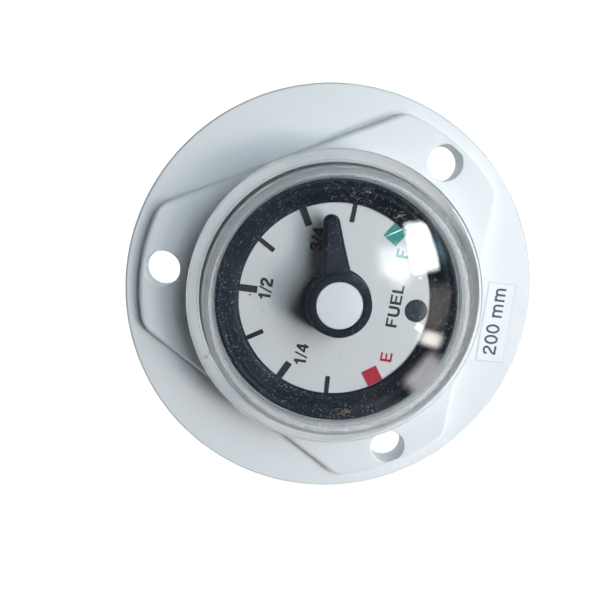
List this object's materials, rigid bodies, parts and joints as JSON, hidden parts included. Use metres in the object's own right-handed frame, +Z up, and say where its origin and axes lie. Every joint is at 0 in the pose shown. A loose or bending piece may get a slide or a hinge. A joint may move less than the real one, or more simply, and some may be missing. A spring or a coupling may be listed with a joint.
{
  "type": "tank fuel gauge",
  "caption": "Round tank-top fuel gauge: flange and tower with a clear lens over dial and pointer, magnetically driven by a float that turns a twisted strip in a cage.",
  "frame": {"origin": "centre of the bolt circle on the flange's sealing face", "axes": "+Z up out of the tank along the gauge's axis, +Y towards the half mark and one bolt hole"},
  "size_m": [0.09, 0.09, 0.2234],
  "materials": {
    "white_plastic": "satin moulded",
    "clear_plastic": "clear moulded",
    "black_plastic": "matt moulded",
    "dial_sheet": "pale silver paint",
    "black_print": "printed ink",
    "red_print": "printed ink",
    "green_print": "printed ink",
    "sticker": "clear film",
    "white_cap": "satin",
    "natural_plastic": "moulded",
    "bearing_plastic": "turned",
    "steel": "bright drawn",
    "brass": "rolled",
    "ferrite": "ground",
    "rubber": "moulded",
    "foam": "closed-cell foam"
  },
  "bodies": {
    "housing": {"head": "white_plastic", "lens": "clear_plastic", "lens_seal": "rubber", "bezel_ring": "black_plastic", "dial_plate": "dial_sheet", "scale_ticks": "black_print", "empty_mark": "red_print", "full_mark": "green_print", "dial_carrier": "black_plastic", "size_label": "sticker", "tank_gasket": "rubber", "pointer_pivot": "steel", "top_plate": "natural_plastic", "cage_screws": "steel", "guide_rods": "steel", "upper_rod_nuts": "steel", "lower_rod_nuts": "steel", "bottom_plate": "natural_plastic", "upper_stops": "rubber", "lower_stops": "rubber", "upper_bearing": "bearing_plastic", "lower_bearing": "bearing_plastic"},
    "float_group": {"float": "foam", "float_carrier": "natural_plastic", "float_cover": "natural_plastic", "guide_bushes": "bearing_plastic", "strip_follower": "bearing_plastic"},
    "spindle": {"strip_head": "brass", "twisted_strip": "brass", "strip_foot": "brass", "thrust_washer": "bearing_plastic", "magnet_holder": "natural_plastic", "drive_magnet": "ferrite", "holder_nut": "brass"},
    "pointer_group": {"pointer": "black_plastic", "pointer_cap": "white_cap", "pointer_magnet": "ferrite", "pointer_bearing": "brass"}
  },
  "joints": [
    {"name": "float_slide", "type": "slide", "parent": "housing", "child": "float_group", "axis": [0, 0, 1], "range_m": [-0.12798, 0.03002]},
    {"name": "spindle_turn", "type": "hinge", "parent": "housing", "child": "spindle", "pos_m": [0, 0, 0], "axis": [0, 0, 1], "range_deg": [-47.2, 200.9]},
    {"name": "pointer_turn", "type": "hinge", "parent": "housing", "child": "pointer_group", "pos_m": [0, 0, 0.0116], "axis": [0, 0, 1], "range_deg": [-47.2, 200.9]}
  ],
  "couplings": [
    {"joint": "spindle_turn", "follows": "float_slide", "rad_per_m": -27.395},
    {"joint": "pointer_turn", "follows": "float_slide", "rad_per_m": -27.395}
  ]
}
